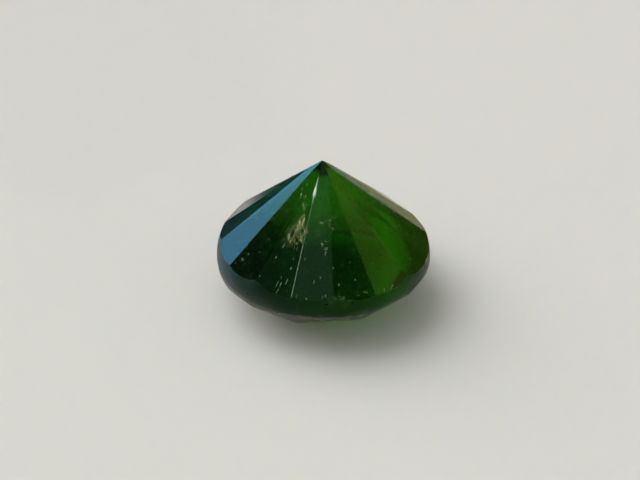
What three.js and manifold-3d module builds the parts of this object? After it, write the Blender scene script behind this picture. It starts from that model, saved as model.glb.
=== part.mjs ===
// A demantoid garnet cut as a round brilliant, one piece of clear green stone.
//
// It lies face down, on its table, with the culet on top. Millimetres, +Z up. The origin is under
// the centre of the girdle, on the surface that the stone lies on, and a pavilion main faces -Y.
//
// It is made as a cutter makes it: a round blank with a slightly barrelled girdle is turned first,
// and each flat facet is then ground away behind a plane through three meet points.
import * as THREE from "three";
import { mergeVertices } from "three/addons/utils/BufferGeometryUtils.js";
import Module from "manifold-3d";

const wasm = await Module();
wasm.setup();

// Driving dimensions, radii and heights in millimetres.
const girdleRadius = 3.0; // at the widest part of the barrelled girdle
const pavilionEdgeRadius = 2.93; // where the girdle meets the pavilion
const girdleThickness = 0.59; // at the meet points, pavilion side to crown side, on average
const barrelBelowEdge = 0.42; // from the pavilion edge down to the widest part
const pavilionDepth = 2.54; // pavilion edge to culet
const crownHeight = 1.0; // table to crown edge, on average
const tableRadius = 1.71; // to a corner of the table
const culetRadius = 0.05; // the tiny flat on the point
const mainLift = 0.075; // how much higher the mains meet the girdle than the ridges do
const starTipRadius = 2.34; // the meet point of a star, two bezels and two upper halves
const lowerHalfReach = 0.87; // share of the way from the girdle to the culet
const facetAxis = -0.05; // where the facets' common axis stands along X, a little off the girdle's
const crownSlant = 0.055; // how far the crown edge dips where the girdle is thickest
const thickestTurn = -1.8; // where that is, in folds from -Y, so at the left

// Counts.
const folds = 8; // mains, bezels and stars
const girdleSteps = 128; // flat strips round the girdle
const barrelSteps = 8; // rows across the girdle

// Heights above the table.
const crownEdge = crownHeight;
const pavilionEdge = crownEdge + girdleThickness;
const culet = pavilionEdge + pavilionDepth;
const widest = pavilionEdge - barrelBelowEdge;

// The girdle's bulge is a shallow arc, as the radius it loses grows with the square of the height.
const bulge =
  (girdleRadius - pavilionEdgeRadius) / (pavilionEdge - widest) ** 2;
const girdleAt = (z) => girdleRadius - bulge * (z - widest) ** 2;
const crownEdgeRadius = girdleAt(crownEdge);

const fold = (2 * Math.PI) / folds;
const facing = -Math.PI / 2; // the first main faces -Y

// A point at a radius and height, turned by a number of folds from the first main.
function at(radius, turn, z) {
  const angle = facing + turn * fold;
  return new THREE.Vector3(
    facetAxis + radius * Math.cos(angle),
    radius * Math.sin(angle),
    z,
  );
}

// A point beside another, square to its radius, so that a facet through both faces straight out.
function beside(point, turn) {
  const angle = facing + turn * fold;
  return point
    .clone()
    .add(new THREE.Vector3(-Math.sin(angle), Math.cos(angle), 0));
}

// A closed three.js geometry as a solid.
function solidOf(geometry) {
  const bare = geometry.clone();
  bare.deleteAttribute("normal");
  bare.deleteAttribute("uv");
  const merged = mergeVertices(bare, 1e-5);
  return new wasm.Manifold(
    new wasm.Mesh({
      numProp: 3,
      vertProperties: new Float32Array(merged.attributes.position.array),
      triVerts: new Uint32Array(merged.index.array),
    }),
  );
}

// The round blank: the girdle's arc, run on a little past both edges, between two plain ends.
function blank() {
  const spare = 0.2;
  const top = pavilionEdge + spare;
  const bottom = crownEdge - spare;
  const profile = [
    new THREE.Vector2(0, -spare),
    new THREE.Vector2(girdleAt(bottom), -spare),
  ];
  for (let i = 0; i <= barrelSteps; i++) {
    const z = THREE.MathUtils.lerp(bottom, top, i / barrelSteps);
    profile.push(new THREE.Vector2(girdleAt(z), z));
  }
  profile.push(new THREE.Vector2(girdleAt(top), culet + spare));
  profile.push(new THREE.Vector2(0, culet + spare));
  const turned = new THREE.LatheGeometry(profile, girdleSteps);
  turned.rotateX(Math.PI / 2);
  return solidOf(turned);
}

// What the lap grinds off for one facet: all that lies outside the plane through three points.
const lapSize = 12;
const middle = new THREE.Vector3(0, 0, (crownEdge + pavilionEdge) / 2);
function ground(a, b, c) {
  const plane = new THREE.Plane().setFromCoplanarPoints(a, b, c);
  if (plane.distanceToPoint(middle) > 0) plane.negate();
  const lap = new THREE.BoxGeometry(lapSize, lapSize, lapSize);
  lap.applyQuaternion(
    new THREE.Quaternion().setFromUnitVectors(
      new THREE.Vector3(0, 0, 1),
      plane.normal,
    ),
  );
  const onPlane = plane.projectPoint(middle, new THREE.Vector3());
  onPlane.addScaledVector(plane.normal, lapSize / 2);
  lap.translate(onPlane.x, onPlane.y, onPlane.z);
  return solidOf(lap);
}

// The meet points of the pavilion. The mains run to a point just above the culet.
const mainMeet = (turn) => at(pavilionEdgeRadius, turn, pavilionEdge + mainLift);
const ridgeMeet = (turn) => at(pavilionEdgeRadius, turn, pavilionEdge);
const mainSlope =
  (pavilionDepth - mainLift) / (pavilionEdgeRadius - culetRadius);
const point = at(0, 0, culet + culetRadius * mainSlope);
const splitRadius = (1 - lowerHalfReach) * pavilionEdgeRadius;
const splitHeight = point.z - splitRadius * Math.cos(fold / 2) * mainSlope;
const splitMeet = (turn) => at(splitRadius, turn, splitHeight);

function pavilionFacets() {
  const cuts = [];
  for (let i = 0; i < folds; i++) {
    cuts.push(ground(point, mainMeet(i), beside(mainMeet(i), i)));
    for (const side of [-0.5, 0.5]) {
      cuts.push(
        ground(mainMeet(i), ridgeMeet(i + side), splitMeet(i + side)),
      );
    }
  }
  cuts.push(ground(at(1, 0, culet), at(1, 2, culet), at(1, 4, culet)));
  return cuts;
}

// The meet points of the crown, which is below. Each bezel runs from the girdle to a table corner.
const crownEdgeHeight = (turn) =>
  crownEdge - crownSlant * Math.cos((turn - thickestTurn) * fold);
const bezelMeet = (turn) => at(crownEdgeRadius, turn, crownEdgeHeight(turn));
const tableCorner = (turn) => at(tableRadius, turn, 0);
const bezelSlope = (turn) =>
  crownEdgeHeight(turn) / (crownEdgeRadius - tableRadius);
const starTipReach = starTipRadius * Math.cos(fold / 2) - tableRadius;
const starTip = (turn) =>
  at(starTipRadius, turn, starTipReach * bezelSlope(turn));

function crownFacets() {
  const cuts = [];
  for (let i = 0; i < folds; i++) {
    cuts.push(ground(bezelMeet(i), tableCorner(i), beside(tableCorner(i), i)));
    cuts.push(ground(tableCorner(i), tableCorner(i + 1), starTip(i + 0.5)));
    for (const side of [-0.5, 0.5]) {
      cuts.push(ground(bezelMeet(i), bezelMeet(i + side), starTip(i + side)));
    }
  }
  cuts.push(ground(tableCorner(0), tableCorner(2), tableCorner(4)));
  return cuts;
}

// The cut stone as a geometry.
function cutStone() {
  let stone = blank();
  for (const cut of [...pavilionFacets(), ...crownFacets()]) {
    stone = stone.subtract(cut);
  }
  const mesh = stone.getMesh();
  const positions = new Float32Array(mesh.numVert * 3);
  for (let i = 0; i < mesh.numVert; i++) {
    positions.set(
      mesh.vertProperties.subarray(i * mesh.numProp, i * mesh.numProp + 3),
      i * 3,
    );
  }
  const geometry = new THREE.BufferGeometry()
    .setAttribute("position", new THREE.BufferAttribute(positions, 3))
    .setIndex(new THREE.BufferAttribute(new Uint32Array(mesh.triVerts), 1));
  geometry.computeVertexNormals();
  return geometry;
}

const clearGreen = new THREE.MeshStandardMaterial({
  color: 0x1f5a14,
  roughness: 0.03,
  metalness: 0,
});

const gem = new THREE.Group();
const stone = new THREE.Mesh(cutStone(), clearGreen);
stone.name = "demantoid";
gem.add(stone);

export default gem;
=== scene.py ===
import math
import random

import bpy
from mathutils import Matrix, Quaternion, Vector
from mathutils.bvhtree import BVHTree


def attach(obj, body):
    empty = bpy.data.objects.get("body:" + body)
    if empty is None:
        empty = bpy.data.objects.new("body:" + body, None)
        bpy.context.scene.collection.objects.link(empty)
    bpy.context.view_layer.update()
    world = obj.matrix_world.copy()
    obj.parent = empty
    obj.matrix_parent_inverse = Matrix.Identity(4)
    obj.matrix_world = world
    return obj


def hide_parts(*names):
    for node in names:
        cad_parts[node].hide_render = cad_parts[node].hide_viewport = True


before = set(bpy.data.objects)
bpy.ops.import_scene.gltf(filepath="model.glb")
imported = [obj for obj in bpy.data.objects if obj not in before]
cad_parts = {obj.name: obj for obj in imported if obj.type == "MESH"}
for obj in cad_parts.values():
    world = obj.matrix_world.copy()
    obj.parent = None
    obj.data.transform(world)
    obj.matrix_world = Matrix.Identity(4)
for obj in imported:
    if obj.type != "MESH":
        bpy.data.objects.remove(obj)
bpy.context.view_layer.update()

MM = 0.001

# The stone, as it is cut.
facet_axis = Vector((-0.05 * MM, 0, 0))
pavilion_edge = 1.59 * MM
pavilion_edge_radius = 2.93 * MM
crown_edge = 1.0 * MM
culet_height = 4.13 * MM
main_lift = 0.075 * MM
culet_radius = 0.05 * MM
lower_half_reach = 0.87
fold = math.radians(45)
refraction = 1.888
# Steeper faces than this, by their normal's height, belong to the girdle.
steepest_facet = 0.5
# Corners closer together than this are one corner.
same_corner = 0.001 * MM

# The view: a long lens, looking down on the stone and a few degrees to the right of +Y. The point
# that it aims at is seen at a pixel a little off the picture's middle.
picture_width = 640
picture_height = 480
aim = facet_axis + Vector((0, 0, 1.616 * MM))
aim_pixel = (321.8, 238.8)
view_distance = 40.4 * MM
view_elevation = math.radians(33.8)
view_azimuth = math.radians(6.45)
view_roll = math.radians(0.4)
lens_pixels = 1442
sensor_width = 36


# Small helpers.


def deselect():
    bpy.ops.object.select_all(action="DESELECT")


def activate(piece):
    deselect()
    piece.select_set(True)
    bpy.context.view_layer.objects.active = piece


def named(name):
    """The piece just made, under a name."""
    piece = bpy.context.active_object
    piece.name = piece.data.name = name
    return piece


def direction(azimuth, elevation):
    """Azimuth 0 points away from the camera, and grows to its right."""
    a = azimuth + view_azimuth
    return Vector(
        (
            math.sin(a) * math.cos(elevation),
            math.cos(a) * math.cos(elevation),
            math.sin(elevation),
        )
    )


def around(radius, turn, height):
    """A point at a radius and height, turned by a number of folds from -Y."""
    angle = turn * fold - math.pi / 2
    return facet_axis + Vector((radius * math.cos(angle), radius * math.sin(angle), height))


def joined(pieces, name):
    """Several pieces as one, under a name."""
    deselect()
    for piece in pieces:
        piece.select_set(True)
    bpy.context.view_layer.objects.active = pieces[0]
    bpy.ops.object.join()
    return named(name)


def copy_of(pattern, matrix):
    """A copy with its own mesh, put in place by a matrix."""
    made = bpy.data.objects.new(pattern.name, pattern.data.copy())
    bpy.context.scene.collection.objects.link(made)
    made.data.transform(matrix)
    return made


def scattered(pattern, matrices, name, finish):
    """Copies of a small pattern at many places, joined. The pattern itself is used up."""
    copies = [copy_of(pattern, matrix) for matrix in matrices]
    bpy.data.objects.remove(pattern)
    piece = joined(copies, name)
    piece.data.materials.clear()
    piece.data.materials.append(finish)
    return piece


def laid_along(start, end, across, width, thickness):
    """The matrix that lays a pattern of unit size along a line, its thickness along a normal."""
    along = end - start
    side = across.cross(along).normalized()
    up = along.normalized().cross(side)
    matrix = Matrix((along, side * width, up * thickness)).transposed().to_4x4()
    matrix.translation = (start + end) / 2
    return matrix


def any_way(rng):
    """A random direction."""
    return Vector((rng.uniform(-1, 1), rng.uniform(-1, 1), rng.uniform(-1, 1)))


# The camera.


def make_camera():
    back = -direction(0, 0) * math.cos(view_elevation) + Vector((0, 0, math.sin(view_elevation)))
    turn = (-back).to_track_quat("-Z", "Y")
    right = turn @ Vector((1, 0, 0))
    up = turn @ Vector((0, 1, 0))
    per_pixel = view_distance / lens_pixels
    centre = aim - right * (aim_pixel[0] - picture_width / 2) * per_pixel
    centre += up * (aim_pixel[1] - picture_height / 2) * per_pixel
    bpy.ops.object.camera_add(location=centre + back * view_distance)
    camera = named("camera")
    camera.rotation_mode = "QUATERNION"
    camera.rotation_quaternion = turn @ Quaternion((0, 0, 1), view_roll)
    camera.data.sensor_width = sensor_width
    camera.data.lens = sensor_width * lens_pixels / picture_width
    camera.data.clip_start = 0.001
    camera.data.clip_end = 10
    bpy.context.scene.camera = camera
    return camera


class Sight:
    """Follows a pixel's line of sight from the camera onto the stone, and into it."""

    def __init__(self, camera, stone):
        self.eye = camera.location.copy()
        self.turn = camera.rotation_quaternion.copy()
        self.tree = BVHTree.FromObject(stone, bpy.context.evaluated_depsgraph_get())

    def ray(self, pixel):
        across = (pixel[0] - picture_width / 2) / lens_pixels
        down = (pixel[1] - picture_height / 2) / lens_pixels
        return (self.turn @ Vector((across, -down, -1))).normalized()

    def on_stone(self, pixel):
        """Where the line meets the surface, and the surface's normal there."""
        point, normal, _, _ = self.tree.ray_cast(self.eye, self.ray(pixel))
        return point, normal

    def inside(self, pixel, depth):
        """A point inside the stone that is seen at the pixel, as the light bends there."""
        point, normal = self.on_stone(pixel)
        ray = self.ray(pixel)
        facing = -ray.dot(normal)
        bent = math.sqrt(1 - (1 - facing**2) / refraction**2)
        inner = ray / refraction + normal * (facing / refraction - bent)
        return point + inner.normalized() * depth


# Materials.

# How far the girdle's shading leans up, and under along its lower edge, and how high that edge is.
girdle_lean = 0.5
rim_lean = -0.25
rim_height = 0.11 * MM
# The depth of the girdle's marks, and the ripple of the other faces as a share of it.
marks_depth = 0.032 * MM
ripple_share = 0.008
# The roughness of the best polish, and what unevenness, grinding, rubbing and scuffs add to it.
best_polish = 0.09
uneven_polish = 0.08
ground_roughness = 0.16
rubbed_roughness = 0.12
scuffed_roughness = 0.16
# The values of their noise at which scuffs begin and are full.
scuffs_begin = 0.56
scuffs_full = 0.7
# The green that deepens with the way through the stone, per metre.
stone_colour = (0.32, 0.67, 0.0, 1)
stone_density = 1420

# A band of height on the worn ridge over which it turns whiter as painted highlight, and by how
# much.
highlight_from = 3.3 * MM
highlight_to = 3.6 * MM
highlight_by = 0.45

# The fibres are darker at the band's lower end and paler, with more painted highlight, at its
# upper one.
fibres_dark = 2.45 * MM
fibres_palest_and_highlit = 2.85 * MM
darker_by = -0.15
paler_and_highlit_by = 0.12
fibre_roughness = 0.35

# Colours of the painted glints: pale in the stone, green along the pavilion's edge.
pale_glint_colour = (0.35, 0.52, 0.28, 1)
green_glint_colour = (0.16, 0.42, 0.05, 1)


class Nodes:
    """The node tree of a material or a world, filled by short calls."""

    def __init__(self, owner):
        owner.use_nodes = True
        self.owner = owner
        self.tree = owner.node_tree

    def add(self, kind, settings=None, **inputs):
        made = self.tree.nodes.new(kind)
        for key, value in (settings or {}).items():
            setattr(made, key, value)
        self.fill(made, inputs)
        return made

    def fill(self, node, inputs):
        for key, value in inputs.items():
            self.put(node.inputs[key.replace("_", " ")], value)

    def put(self, socket, value):
        """Gives a socket another node's output, or a value of its own."""
        if isinstance(value, bpy.types.NodeSocket):
            self.tree.links.new(value, socket)
        else:
            socket.default_value = value

    def shade(self, **inputs):
        self.fill(self.tree.nodes["Principled BSDF"], inputs)

    def place(self):
        return self.add("ShaderNodeTexCoord").outputs["Object"]

    def height(self, place):
        return self.add("ShaderNodeSeparateXYZ", Vector=place).outputs["Z"]

    def mark(self, name):
        """What mark_finishes has noted on the faces."""
        return self.add("ShaderNodeAttribute", {"attribute_name": name}).outputs["Fac"]

    def noise(self, place, per_metre, detail=2.0, roughness=0.5):
        """Noise whose grain is given along each axis, in grains to the metre."""
        spread = self.add("ShaderNodeMapping", Scale=per_metre)
        self.put(spread.inputs["Vector"], place)
        made = self.add("ShaderNodeTexNoise", Scale=1.0, Detail=detail, Roughness=roughness)
        self.put(made.inputs["Vector"], spread.outputs[0])
        return made.outputs["Fac"]

    def math(self, operation, first, second):
        made = self.add("ShaderNodeMath", {"operation": operation})
        self.put(made.inputs[0], first)
        self.put(made.inputs[1], second)
        return made.outputs[0]

    def remap(self, value, low, high, to_low=0.0, to_high=1.0):
        """A value taken from one range to another, and kept inside that one."""
        made = self.add("ShaderNodeMapRange", Value=value, From_Min=low, From_Max=high)
        self.fill(made, {"To Min": to_low, "To Max": to_high})
        return made.outputs["Result"]

    def ramp(self, value, low, low_colour, high, high_colour):
        """Runs from one colour to another between two values."""
        made = self.add("ShaderNodeValToRGB", Fac=value)
        first, last = made.color_ramp.elements
        first.position = low
        first.color = low_colour
        last.position = high
        last.color = high_colour
        return made.outputs["Color"]

    def choice(self, factor, chosen, otherwise):
        """One colour where the factor is one or more, and the other where it is nought."""
        made = self.add("ShaderNodeMix", {"data_type": "RGBA"})
        self.put(made.inputs["Factor"], factor)
        self.put(made.inputs["A"], otherwise)
        self.put(made.inputs["B"], chosen)
        return made.outputs["Result"]


def new_finish(name):
    return Nodes(bpy.data.materials.new(name))


def stone_relief(n, place, ground):
    """The girdle's fine upright grinding marks, and the faintest ripple on the other faces.

    The girdle's shading also leans up a little more than its solid does, and turns under along its
    lower edge.
    """
    sides = n.add("ShaderNodeNewGeometry")
    # One on the way in, and minus one where light meets the face from within.
    outside = n.math("SUBTRACT", 1.0, n.math("MULTIPLY", sides.outputs["Backfacing"], 2.0))
    rim_top = crown_edge + rim_height
    amount = n.remap(n.height(place), crown_edge, rim_top, rim_lean, girdle_lean)
    upward = n.add("ShaderNodeCombineXYZ", Z=amount)
    lean = n.add("ShaderNodeVectorMath", {"operation": "MULTIPLY_ADD"})
    n.put(lean.inputs[0], upward.outputs[0])
    n.put(lean.inputs[1], n.math("MULTIPLY", ground, outside))
    n.put(lean.inputs[2], sides.outputs["Normal"])
    leaned = n.add("ShaderNodeVectorMath", {"operation": "NORMALIZE"})
    n.put(leaned.inputs[0], lean.outputs[0])
    marks = n.noise(place, (8000, 8000, 1800), detail=5, roughness=0.75)
    ripple = n.noise(place, (5000, 5000, 12000), detail=4, roughness=0.6)
    relief = n.math("MULTIPLY", marks, ground)
    faint = n.math("MULTIPLY", n.math("SUBTRACT", 1.0, ground), ripple_share)
    relief = n.math("ADD", relief, n.math("MULTIPLY", ripple, faint))
    bump = n.add("ShaderNodeBump", Strength=1.0, Distance=marks_depth)
    n.put(bump.inputs["Height"], relief)
    n.put(bump.inputs["Normal"], leaned.outputs[0])
    return bump.outputs[0]


def make_demantoid():
    """Clear green garnet: a polished pavilion, a finely ground girdle and a rubbed crown."""
    n = new_finish("demantoid_green")
    ground = n.mark("ground")
    rubbed = n.math("MULTIPLY", n.mark("rubbed"), rubbed_roughness)
    place = n.place()
    rough = n.math("ADD", n.math("MULTIPLY", ground, ground_roughness), rubbed)
    uneven = n.noise(place, (4000, 4000, 9000), detail=3)
    rough = n.math("ADD", rough, n.math("MULTIPLY", uneven, uneven_polish))
    scuffs = n.noise(place, (3500, 3500, 2000), detail=5, roughness=0.65)
    scuffs = n.remap(scuffs, scuffs_begin, scuffs_full, to_high=scuffed_roughness)
    rough = n.math("ADD", rough, n.math("MULTIPLY", scuffs, n.math("SUBTRACT", 1.0, ground)))
    n.shade(
        Base_Color=(1, 1, 1, 1),
        Normal=stone_relief(n, place, ground),
        Transmission_Weight=1.0,
        IOR=refraction,
        Roughness=n.math("ADD", rough, best_polish),
    )
    volume = n.add("ShaderNodeVolumeAbsorption", Color=stone_colour, Density=stone_density)
    n.put(n.tree.nodes["Material Output"].inputs["Volume"], volume.outputs[0])
    return n.owner


def make_frost_and_highlight():
    """Stone rubbed to a fine white frost for the worn ridge, whiter near the culet as painted
    highlight.
    """
    n = new_finish("frost_and_painted_highlight")
    place = n.place()
    spots = n.noise(place, (9000, 9000, 9000), detail=3, roughness=0.7)
    # Painted highlight: the frost turns whiter over a band of height near the culet.
    painted_highlight = n.remap(n.height(place), highlight_from, highlight_to, to_high=highlight_by)
    frost_and_highlight = n.math("ADD", spots, painted_highlight)
    tint = n.ramp(frost_and_highlight, 0.35, (0.10, 0.20, 0.11, 1), 1.0, (0.88, 0.98, 0.86, 1))
    n.shade(Base_Color=tint, Roughness=0.35)
    return n.owner


def make_dust_finish():
    """Pale dust and crushed edges of tiny pits."""
    n = new_finish("pale_dust")
    spots = n.noise(n.place(), (30000, 30000, 30000))
    tint = n.ramp(spots, 0.3, (0.08, 0.16, 0.08, 1), 0.65, (0.34, 0.46, 0.32, 1))
    n.shade(Base_Color=tint, Roughness=0.6)
    return n.owner


def make_fibre_finish():
    """Golden-brown mineral fibres, their pale yellow partly their own colour and partly painted
    highlight.
    """
    n = new_finish("golden_fibre_and_highlights")
    place = n.place()
    paler = n.remap(n.height(place), fibres_dark, fibres_palest_and_highlit, darker_by, paler_and_highlit_by)
    bands = n.noise(place, (9000, 9000, 5000), detail=3)
    pale = n.math("ADD", bands, paler)
    # The pale yellow end is partly the fibres' own colour and partly painted highlight.
    tint = n.ramp(pale, 0.38, (0.26, 0.20, 0.09, 1), 0.56, (0.97, 1.0, 0.48, 1))
    n.shade(Base_Color=tint, Roughness=fibre_roughness)
    return n.owner


def make_glint_finish(name, colour):
    """Painted glints: threads in one plain colour."""
    n = new_finish(name)
    n.shade(Base_Color=colour, Roughness=fibre_roughness)
    return n.owner


def make_floor_finish():
    """A pale floor that the light sinks into a little."""
    n = new_finish("pale_floor")
    n.shade(
        Base_Color=(0.80, 0.79, 0.77, 1),
        Roughness=0.5,
        Subsurface_Weight=1.0,
        Subsurface_Radius=(3.0, 2.8, 2.4),
        Subsurface_Scale=MM,
    )
    return n.owner


def make_cloth_finish(name, colour):
    n = new_finish(name)
    n.shade(Base_Color=colour, Roughness=0.9, Specular_IOR_Level=0.0)
    return n.owner


# The stone.


def make_stone(node, finish):
    """A copy of the solid, its faces joined up so that the girdle is smooth."""
    stone = bpy.data.objects.new("cut_stone", node.data.copy())
    bpy.context.scene.collection.objects.link(stone)
    stone.data.name = "cut_stone"
    stone.data.materials.clear()
    activate(stone)
    bpy.ops.object.mode_set(mode="EDIT")
    bpy.ops.mesh.select_all(action="SELECT")
    bpy.ops.mesh.remove_doubles(threshold=same_corner)
    bpy.ops.mesh.select_all(action="DESELECT")
    bpy.ops.object.mode_set(mode="OBJECT")
    stone.data.materials.append(finish)
    mark_finishes(stone)
    return stone


def mark_finishes(stone):
    """Notes on each face whether it is ground, as on the girdle, or rubbed, as on the crown."""
    mesh = stone.data
    ground = mesh.attributes.new("ground", "FLOAT", "FACE")
    rubbed = mesh.attributes.new("rubbed", "FLOAT", "FACE")
    for face in mesh.polygons:
        on_girdle = abs(face.normal.z) < steepest_facet
        ground.data[face.index].value = 1.0 if on_girdle else 0.0
        rubbed.data[face.index].value = 1.0 if face.normal.z < -steepest_facet else 0.0
        face.use_smooth = on_girdle


# What wear and dust have left on it.

# The worn ridge: where it is, in folds from -Y, and its widths in this unit at shares of the way
# down; its wide stretch near the top is a painted highlight. It is flatter than it is wide.
worn_turn = -0.5
worn_unit = 0.026 * MM
worn_flatness = 0.5
ridge_and_highlight_widths = (
    (0.00, 0.2),
    (0.05, 0.6),
    (0.09, 1.8),
    (0.13, 3.0),
    (0.155, 3.1),
    (0.175, 1.4),
    (0.20, 0.4),
    (0.30, 0.25),
    (0.45, 0.3),
    (0.60, 0.55),
    (0.80, 0.75),
    (0.97, 0.75),
    (1.00, 0.2),
)


def make_ridge_wear_and_highlight(finish):
    """A ridge rubbed to a thin white line, widened near the culet into a painted highlight."""
    slope = (culet_height - pavilion_edge - main_lift) / (pavilion_edge_radius - culet_radius)
    split_radius = (1 - lower_half_reach) * pavilion_edge_radius
    point_height = culet_height + culet_radius * slope
    split_height = point_height - split_radius * math.cos(fold / 2) * slope
    top = around(split_radius, worn_turn, split_height)
    bottom = around(pavilion_edge_radius, worn_turn, pavilion_edge)
    first_radius = 0.5 * ridge_and_highlight_widths[0][1]
    bpy.ops.mesh.primitive_circle_add(vertices=10, radius=first_radius, fill_type="NGON")
    strip = named("ridge_wear_and_highlight")
    bpy.ops.object.mode_set(mode="EDIT")
    for (share, width), (next_share, next_width) in zip(ridge_and_highlight_widths, ridge_and_highlight_widths[1:]):
        bpy.ops.mesh.extrude_region_move(
            TRANSFORM_OT_translate={"value": (0, 0, next_share - share)}
        )
        bpy.ops.transform.resize(value=(next_width / width, next_width / width, 1))
    bpy.ops.mesh.select_all(action="SELECT")
    bpy.ops.mesh.normals_make_consistent(inside=False)
    bpy.ops.object.mode_set(mode="OBJECT")
    line = bottom - top
    outward = line.cross(Vector((0, 0, 1)).cross(line)).normalized()
    if outward.z < 0:
        outward = -outward
    side = outward.cross(line).normalized()
    place = Matrix((side * worn_unit, outward * worn_unit * worn_flatness, line))
    place = place.transposed().to_4x4()
    place.translation = top
    strip.data.transform(place)
    strip.data.materials.append(finish)
    return strip


# Marks on the facets: pixels of the two ends, and the width in millimetres.
chip_marks = (
    ((242, 258), (243, 261), 0.05),
    ((248, 253.5), (249, 255), 0.03),
    ((260, 275.5), (259.5, 277), 0.05),
    ((276.5, 256), (275.5, 259), 0.04),
    ((293.5, 258), (293.5, 260), 0.05),
    ((291.5, 267), (290.5, 270), 0.05),
    ((288, 279), (285, 285), 0.04),
    ((281.5, 282), (279.5, 287), 0.035),
    ((278.5, 281), (275.5, 287.5), 0.035),
    ((279, 288), (276, 294), 0.025),
    ((305.5, 298), (307, 299.5), 0.06),
    ((323, 296), (321.5, 299), 0.04),
    ((326, 294.5), (325, 297.5), 0.04),
    ((339, 283.5), (338.5, 286), 0.07),
    ((355, 279), (355.5, 280.5), 0.07),
    ((340.5, 297), (340, 299.5), 0.05),
    ((333, 267), (333.5, 269), 0.05),
    ((326, 251.5), (325, 255.5), 0.045),
    ((305.5, 257), (304.5, 260.5), 0.03),
    ((320.5, 277), (320.5, 279), 0.035),
    ((314.5, 280), (313.5, 284), 0.035),
    ((384, 288), (384.5, 291), 0.05),
    ((393, 284.5), (390.5, 290), 0.05),
    ((367, 292), (368, 294), 0.04),
    ((301.5, 193), (300.5, 198), 0.045),
    ((305.5, 194.5), (305, 197.5), 0.04),
    ((307.5, 183), (307.5, 185), 0.035),
    ((302.5, 188), (302, 191), 0.03),
    ((281.5, 276), (281, 279), 0.02),
    ((297, 294), (296, 299), 0.02),
    ((236, 262), (235, 264), 0.03),
    ((311, 316), (311, 318), 0.04),
    ((321, 315), (321, 317), 0.04),
    ((302, 315), (302, 317), 0.03),
    ((269, 238), (269, 240), 0.03),
    ((372, 263), (372, 264), 0.03),
    ((350, 262), (350, 263.5), 0.03),
)
# A fleck's width as a share of its mark's, and in shares of its own width how far it runs past the
# mark's ends, how far it is raised and how thick it is.
chip_width = 0.42
chip_overrun = 0.25
chip_raised = 0.12
chip_thickness = 0.2
# How uneven its outline is, and the seed of that.
chip_uneven = 0.12
chip_seed = 4

# Sparse marks, all round but in front: the arc in half turns from +X, the heights and sizes in
# millimetres, and in shares of the size how far a mark reaches, how wide and thick it is and how
# far it is raised.
sparse_marks = 60
sparse_seed = 11
sparse_arc = (-0.25, 1.25)
sparse_heights = (1.65, 3.9)
sparse_sizes = (0.012, 0.016, 0.02, 0.03)
sparse_reach = (0.5, 1.5)
sparse_width = 0.6
sparse_thickness = 0.15
sparse_raised = 0.1
# A radius well outside the stone, in millimetres.
well_outside = 5


def make_chip():
    """A tiny fleck of unit size, its outline uneven. It is flattened where it is laid."""
    bpy.ops.mesh.primitive_ico_sphere_add(subdivisions=2, radius=0.5)
    chip = named("fleck")
    bpy.ops.object.mode_set(mode="EDIT")
    bpy.ops.transform.vertex_random(offset=chip_uneven, seed=chip_seed)
    bpy.ops.object.mode_set(mode="OBJECT")
    return chip


def make_flecks(sight, finish):
    """Specks of dust and tiny bruises, where the front shows them and sparsely elsewhere."""
    places = []
    for start_pixel, end_pixel, width in chip_marks:
        start, normal = sight.on_stone(start_pixel)
        end, _ = sight.on_stone(end_pixel)
        size = chip_width * width * MM
        longer = (end - start).normalized() * size * chip_overrun
        raised = normal * size * chip_raised
        start = start - longer + raised
        end = end + longer + raised
        places.append(laid_along(start, end, normal, size, size * chip_thickness))
    rng = random.Random(sparse_seed)
    for _ in range(sparse_marks):
        angle = rng.uniform(*sparse_arc) * math.pi
        height = rng.uniform(*sparse_heights) * MM
        outside = Vector((math.cos(angle), math.sin(angle), 0)) * well_outside * MM
        outside.z = height
        inward = Vector((-outside.x, -outside.y, 0)).normalized()
        point, normal, _, _ = sight.tree.ray_cast(outside, inward)
        size = rng.choice(sparse_sizes) * MM
        along = normal.orthogonal().normalized() * size * rng.uniform(*sparse_reach)
        along = Quaternion(normal, rng.uniform(0, math.tau)) @ along
        point += normal * size * sparse_raised
        width = size * sparse_width
        thickness = size * sparse_thickness
        places.append(laid_along(point - along, point + along, normal, width, thickness))
    return scattered(make_chip(), places, "dust_flecks", finish)


# What is inside it.

# The spray, in pixels: where it starts from, and where it ends at its left and at its right.
spray_origin = (304.5, 197)
spray_far_left = (280, 248)
spray_far_right = (305, 252)
spray_fibres = 250
spray_seed = 7
# How the fibres gather between left and right, as a beta distribution's two values.
spray_gathering = (1.4, 1.2)
# Where a fibre begins, in shares of the way out: at the left, how much earlier at the right, how
# much it varies at the left and how much more at the right, and its limits.
begins_at = 0.74
begins_earlier = 0.28
begins_varied = 0.1
begins_more_varied = 0.1
begins_limits = (0.1, 0.9)
# A fibre's length, the furthest that it reaches, and how much less that can be at the right.
fibre_lengths = (0.05, 0.16)
fibre_furthest = 1.03
fibre_ragged = 0.2
# Some fibres are at the surface, the others at these depths. Depths and widths are in millimetres.
shown_at_surface = 0.4
fibre_depths = (0.02, 0.3)
fibre_widths = (0.004, 0.005, 0.007, 0.010)
# How far a fibre stands sideways of its line, in pixels, and its far end's share of that.
fibre_sideways = (0.3, 1.2)
fibre_splay = (0.4, 1.6)

# Painted glints: short threads round these pixels, in the stone and along the pavilion's edge.
glint_centres = (
    (331, 229),
    (323, 245),
    (326, 250),
    (318, 231),
    (334, 216),
    (320, 222),
    (329, 219),
)
edge_glint_centres = (
    (330, 303),
    (336, 300),
    (343, 299),
    (350, 297),
    (357, 294),
    (363, 291),
    (346, 303),
)
glints_each = 6
glints_seed = 3
# How far they scatter and half their run across and down, in pixels.
glint_scatter = 1.8
glint_across = (-1.2, 0.6)
glint_down = (0.8, 2.4)
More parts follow.
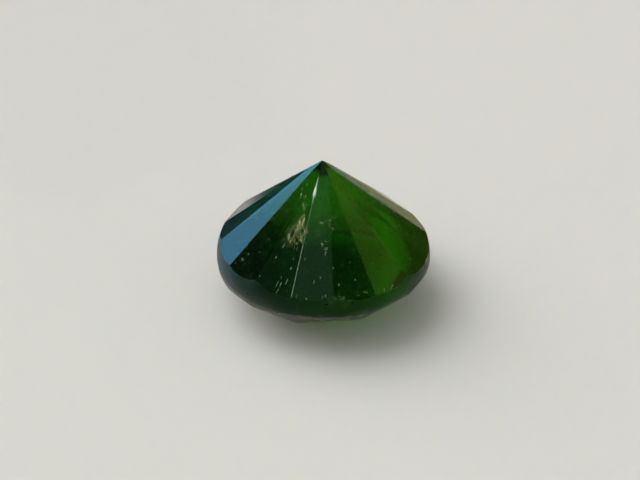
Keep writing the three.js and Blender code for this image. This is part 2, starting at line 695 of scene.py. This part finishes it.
# The share of them that lies crosswise, and how much flatter those are.
glints_crosswise = 0.35
glint_flatter = 0.6
# Depths and widths in millimetres. About half of them are at the surface.
glint_depths = (-0.3, 0.3)
glint_widths = (0.007, 0.014)


def make_fibre():
    """One fibre of unit length along X and unit width, tapered and a little bowed."""
    radii = [0.15, 0.35, 0.5, 0.5, 0.42, 0.28, 0.08]
    bow = [0.0, 1.0, 0.6, 0.1, -0.4, -0.9, -1.2]
    steps = len(radii) - 1
    bpy.ops.mesh.primitive_circle_add(
        vertices=5,
        radius=radii[0],
        fill_type="NGON",
        location=(-0.5, 0, 0),
        rotation=(0, math.pi / 2, 0),
    )
    fibre = named("fibre")
    bpy.ops.object.mode_set(mode="EDIT")
    for i in range(steps):
        bpy.ops.mesh.extrude_region_move(
            TRANSFORM_OT_translate={"value": (1 / steps, bow[i + 1] - bow[i], 0)}
        )
        grow = radii[i + 1] / radii[i]
        bpy.ops.transform.resize(value=(1, grow, grow))
    bpy.ops.mesh.select_all(action="SELECT")
    bpy.ops.mesh.normals_make_consistent(inside=False)
    bpy.ops.object.mode_set(mode="OBJECT")
    activate(fibre)
    bpy.ops.object.transform_apply(location=True, rotation=True, scale=True)
    return fibre


def make_horsetail(sight, finish):
    """A spray of fine fibres that grew inside the stone, close under the front left facet."""
    rng = random.Random(spray_seed)
    origin = Vector(spray_origin)
    left, right = Vector(spray_far_left), Vector(spray_far_right)
    earliest, latest = begins_limits
    places = []
    for _ in range(spray_fibres):
        share = rng.betavariate(*spray_gathering)
        far = left.lerp(right, share)
        varied = begins_varied + begins_more_varied * share
        begin = rng.gauss(begins_at - begins_earlier * share, varied)
        begin = min(max(begin, earliest), latest)
        reach = begin + rng.uniform(*fibre_lengths)
        reach = min(reach, fibre_furthest - fibre_ragged * share * rng.random())
        depth = 0 if rng.random() < shown_at_surface else rng.uniform(*fibre_depths)
        sideways = Vector((rng.gauss(*fibre_sideways), 0))
        start = sight.inside(origin.lerp(far, begin) + sideways, depth * MM)
        sideways = sideways * rng.uniform(*fibre_splay)
        end = sight.inside(origin.lerp(far, reach) + sideways, depth * MM)
        width = rng.choice(fibre_widths) * MM
        places.append(laid_along(start, end, any_way(rng), width, width))
    return scattered(make_fibre(), places, "horsetail_fibres", finish)


def make_glints(sight, centres, name, finish):
    """Painted glints: short threads, gathered round a few places, some of them a little way in."""
    rng = random.Random(glints_seed)
    places = []
    for centre in centres:
        for _ in range(glints_each):
            aside = Vector((rng.gauss(0, glint_scatter), rng.gauss(0, glint_scatter)))
            middle = Vector(centre) + aside
            lean = Vector((rng.uniform(*glint_across), rng.uniform(*glint_down)))
            if rng.random() < glints_crosswise:
                lean = Vector((lean.y, -lean.x * glint_flatter))
            depth = max(0, rng.uniform(*glint_depths))
            start = sight.inside(middle - lean, depth * MM)
            end = sight.inside(middle + lean, depth * MM)
            width = rng.uniform(*glint_widths) * MM
            places.append(laid_along(start, end, any_way(rng), width, width))
    return scattered(make_fibre(), places, name, finish)


# The stage.

floor_size = 300 * MM
floor_height = -0.01 * MM
cloth_height = 0.02 * MM
# Cloths on the floor behind the stone, which only its facets see: azimuth and half width in
# degrees, how far out each begins and ends, and its colour.
cloths = {
    "dark_cloth": (-36, 26, 8.4 * MM, 150 * MM, (0.02, 0.07, 0.075, 1)),
    "olive_cloth": (22, 26, 6.0 * MM, 30 * MM, (0.38, 0.39, 0.20, 1)),
}

# Soft patches of light in the dim room: azimuth, elevation, the angle out to which each is full
# and the angle at which it is gone, all in degrees, and its radiance.
room_lights = {
    "sky_window": (-55, 12, 11, 14, (0.33, 1.10, 1.75)),
    "sky_window_far_side": (-38, 8, 7, 11, (0.30, 1.05, 1.65)),
    "window_low": (-49, 35, 9, 13, (2.35, 2.0, 0.33)),
    "window_high": (-54, 52, 8, 15, (1.9, 1.6, 0.7)),
    "top_light": (-10, 82, 20, 34, (0.15, 0.40, 0.15)),
    "back_skylight": (20, 62, 6, 18, (1.1, 1.0, 0.65)),
    "front_skylight": (-160, 66, 10, 20, (0.08, 0.16, 0.09)),
    "left_room": (-130, 20, 14, 26, (0.05, 0.13, 0.07)),
    "left_near": (-98, 8, 8, 16, (0.07, 0.20, 0.10)),
    "high_left": (-20, 53, 5, 10, (1.0, 1.8, 0.4)),
    "left_high": (-122, 52, 8, 16, (0.016, 0.06, 0.02)),
    "back_room": (16, 26, 14, 26, (0.05, 0.06, 0.05)),
    "right_low": (42, 7, 8, 14, (0.05, 0.16, 0.0)),
    "right_mid": (57, 21, 7, 13, (0.06, 0.17, 0.0)),
    "right_room": (76, 38, 9, 18, (0.14, 0.17, 0.02)),
    "right_near": (98, 43, 8, 18, (0.12, 0.19, 0.02)),
    "front_room": (160, 44, 14, 24, (0.04, 0.13, 0.03)),
    "front_right_room": (152, 27, 10, 20, (0.09, 0.46, 0.0)),
}
dim_room_colour = (0.01, 0.012, 0.012)
# What matte surfaces are lit by: an even pale dome, brighter on the left.
dome_colour = (0.31, 0.31, 0.305)
dome_left = (-58, 46, 6, 42, (3.3, 3.3, 3.2))
backdrop_colour = (0.62, 0.62, 0.60, 1)


def make_floor():
    bpy.ops.mesh.primitive_plane_add(size=floor_size, location=(0, 0, floor_height))
    floor = named("floor")
    floor.data.materials.append(make_floor_finish())


def make_cloth(name, azimuth, half_width, near, far, colour):
    """A cloth on the floor in a sector round the stone, left out of the picture itself."""
    bpy.ops.mesh.primitive_circle_add(
        vertices=96, radius=far, fill_type="NGON", location=(0, 0, cloth_height)
    )
    cloth = named(name)
    bpy.ops.object.mode_set(mode="EDIT")
    bpy.ops.mesh.inset(thickness=far - near, depth=0)
    bpy.ops.mesh.delete(type="FACE")
    bpy.ops.mesh.select_mode(type="FACE")
    bpy.ops.mesh.select_all(action="DESELECT")
    bpy.ops.object.mode_set(mode="OBJECT")
    behind = direction(math.radians(azimuth), 0)
    for face in cloth.data.polygons:
        face.select = behind.dot(face.center.normalized()) < math.cos(math.radians(half_width))
    bpy.ops.object.mode_set(mode="EDIT")
    bpy.ops.mesh.delete(type="FACE")
    bpy.ops.object.mode_set(mode="OBJECT")
    cloth.data.materials.append(make_cloth_finish(name, colour))
    cloth.visible_camera = False
    cloth.visible_diffuse = False
    cloth.visible_shadow = False


def soft_lights(n, towards, lights, darkest):
    """The sum of soft patches of light on a dark colour, as a node's output."""
    total = darkest
    for azimuth, elevation, full, gone, radiance in lights:
        facing = n.add("ShaderNodeVectorMath", {"operation": "DOT_PRODUCT"})
        n.put(facing.inputs[0], towards)
        n.put(facing.inputs[1], direction(math.radians(azimuth), math.radians(elevation)))
        fade = n.add("ShaderNodeMapRange", {"interpolation_type": "SMOOTHSTEP"})
        n.put(fade.inputs["From Min"], math.cos(math.radians(gone)))
        n.put(fade.inputs["From Max"], math.cos(math.radians(full)))
        n.put(fade.inputs["Value"], facing.outputs["Value"])
        added = n.add("ShaderNodeVectorMath", {"operation": "MULTIPLY_ADD"})
        n.put(added.inputs[0], radiance)
        n.put(added.inputs[1], fade.outputs["Result"])
        n.put(added.inputs[2], total)
        total = added.outputs[0]
    return total


def make_room():
    """The dim room that shows in the stone.

    What a matte surface has scattered sees the dome instead, and the camera a plain pale backdrop.
    """
    world = bpy.data.worlds.new("dim_room")
    world.cycles.sampling_method = "NONE"
    n = Nodes(world)
    towards = n.add("ShaderNodeTexCoord").outputs["Generated"]
    path = n.add("ShaderNodeLightPath")
    seen = soft_lights(n, towards, room_lights.values(), dim_room_colour)
    dome = soft_lights(n, towards, [dome_left], dome_colour)
    seen = n.choice(path.outputs["Diffuse Depth"], dome, seen)
    seen = n.choice(path.outputs["Is Camera Ray"], backdrop_colour, seen)
    n.put(n.tree.nodes["Background"].inputs["Color"], seen)
    bpy.context.scene.world = world


def set_rays():
    """Enough bounces for the light's long way round inside the stone, and calm highlights."""
    scene = bpy.context.scene
    scene.cycles.max_bounces = 32
    scene.cycles.glossy_bounces = 32
    scene.cycles.transmission_bounces = 32
    scene.cycles.transparent_max_bounces = 16
    scene.cycles.sample_clamp_indirect = 6
    scene.cycles.blur_glossy = 0.2
    scene.view_settings.view_transform = "Standard"


camera = make_camera()
stone = make_stone(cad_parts["demantoid"], make_demantoid())
sight = Sight(camera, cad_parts["demantoid"])
painted_pale_glint = make_glint_finish("painted_pale_glint", pale_glint_colour)
painted_green_glint = make_glint_finish("painted_green_glint", green_glint_colour)
pieces = (
    stone,
    make_ridge_wear_and_highlight(make_frost_and_highlight()),
    make_flecks(sight, make_dust_finish()),
    make_horsetail(sight, make_fibre_finish()),
    make_glints(sight, glint_centres, "painted_pale_glints", painted_pale_glint),
    make_glints(sight, edge_glint_centres, "edge_glints", painted_green_glint),
)
for piece in pieces:
    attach(piece, "root")
    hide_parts("demantoid")
make_floor()
for name, place in cloths.items():
    make_cloth(name, *place)
make_room()
set_rays()
